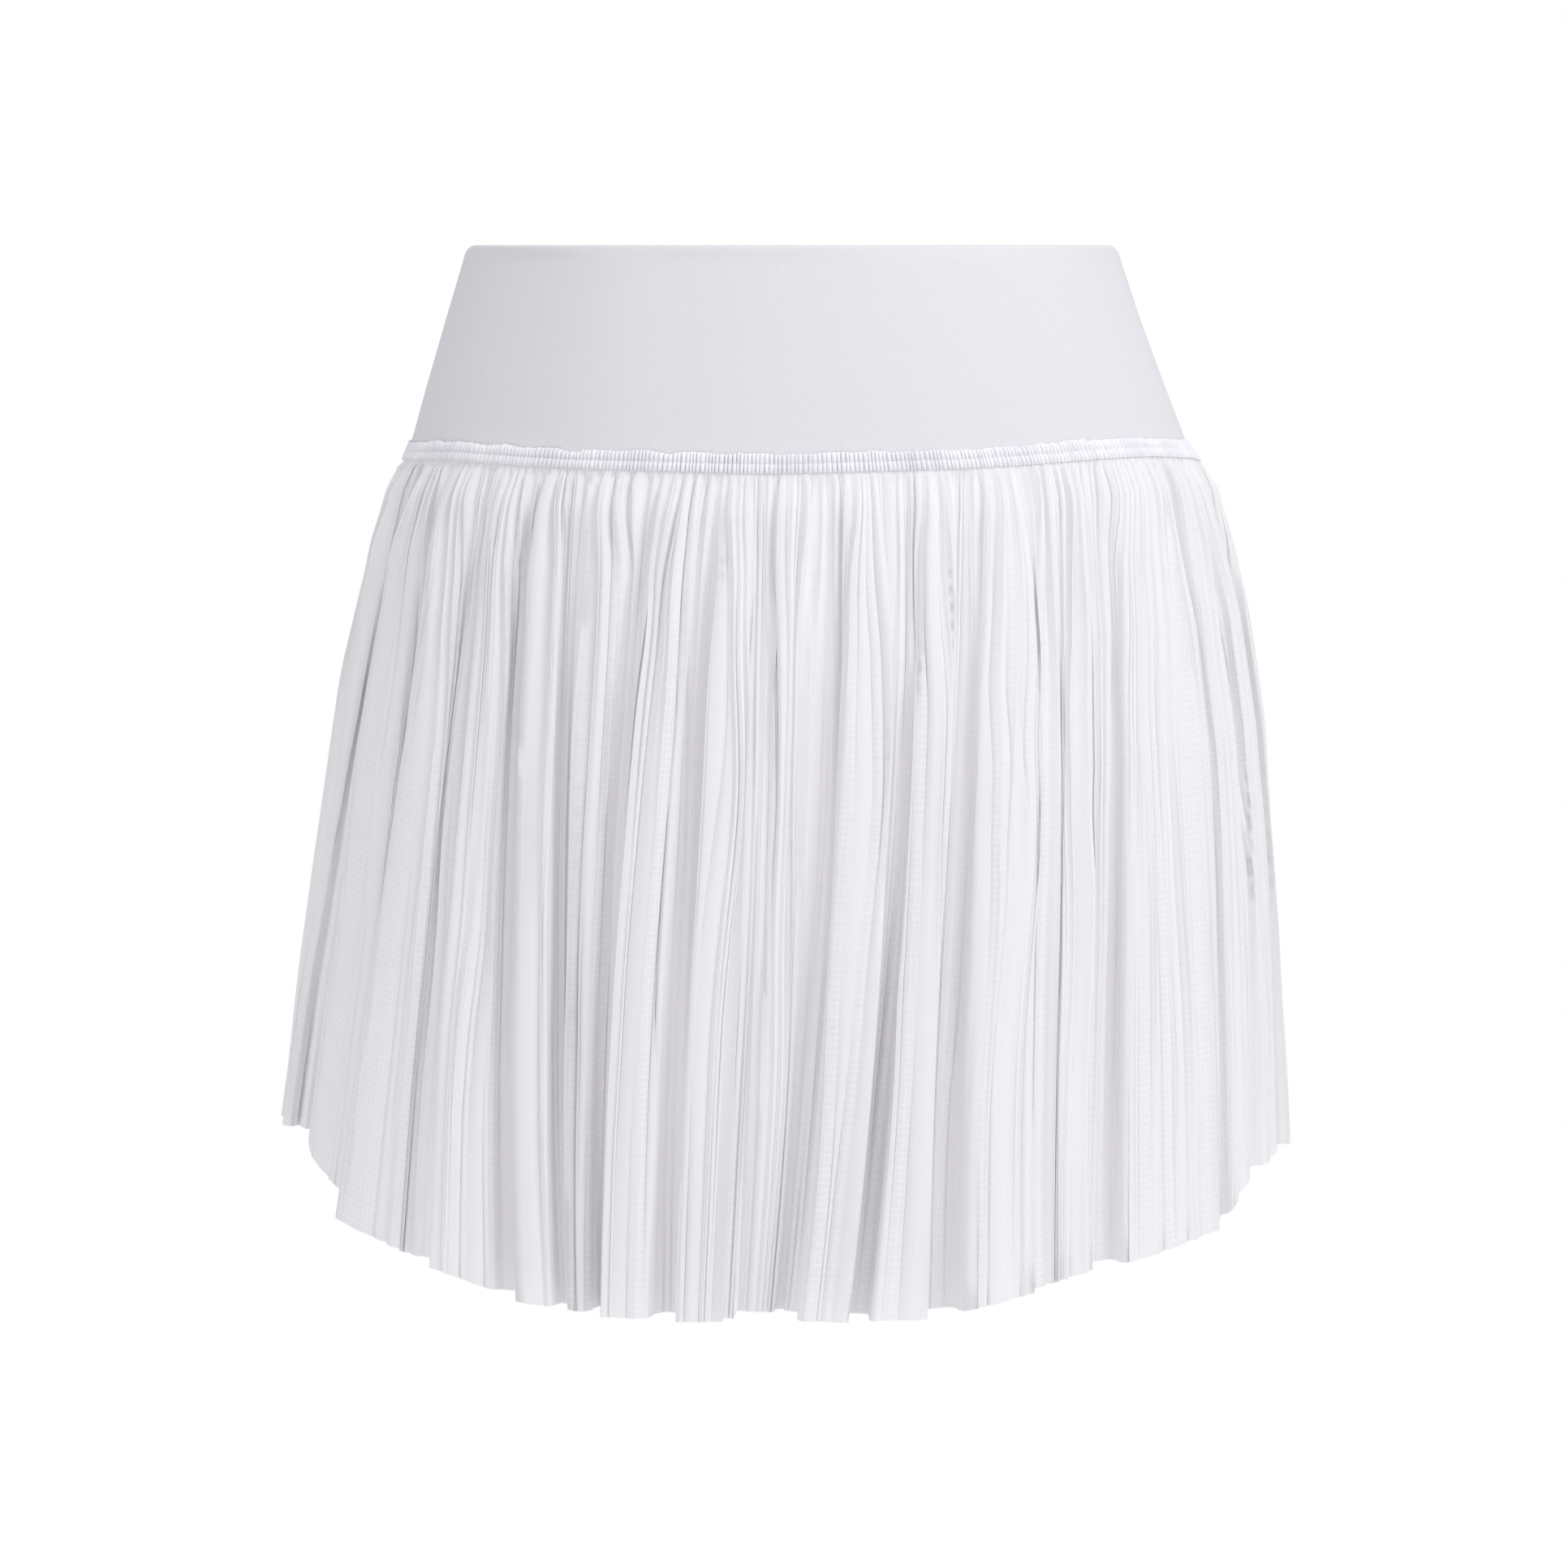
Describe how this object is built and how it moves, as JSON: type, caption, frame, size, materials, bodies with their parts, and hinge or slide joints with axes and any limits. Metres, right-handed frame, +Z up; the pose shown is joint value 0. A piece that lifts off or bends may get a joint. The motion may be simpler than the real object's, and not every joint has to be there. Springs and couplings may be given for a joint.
{
  "type": "tennis skirt",
  "caption": "Tennis skirt filled out as if worn: a wide knit waistband, a gathered heading and a finely pleated open mesh skirt in deep folds, open at waist and hem.",
  "frame": {"origin": "centre of the waist opening, level with the waistband's upper edge, where the wearer's waist holds the garment", "axes": "+Z up; -Y is the front that the wearer faces; +X is on the right of someone who looks at the front"},
  "size_m": [0.3844, 0.3414, 0.3745],
  "materials": {
    "waistband_knit": "smooth matt double knit, faint ribs, cool white",
    "heading_gathers": "matt gathered mesh flattened under stitching, white",
    "pleated_mesh": "matt open grid mesh set in fine pleats, white"
  },
  "bodies": {
    "root": {"waistband_front": "waistband_knit", "waistband_back": "waistband_knit", "gathered_heading_front": "heading_gathers", "gathered_heading_back": "heading_gathers", "skirt_front": "pleated_mesh", "skirt_back": "pleated_mesh"}
  },
  "joints": []
}
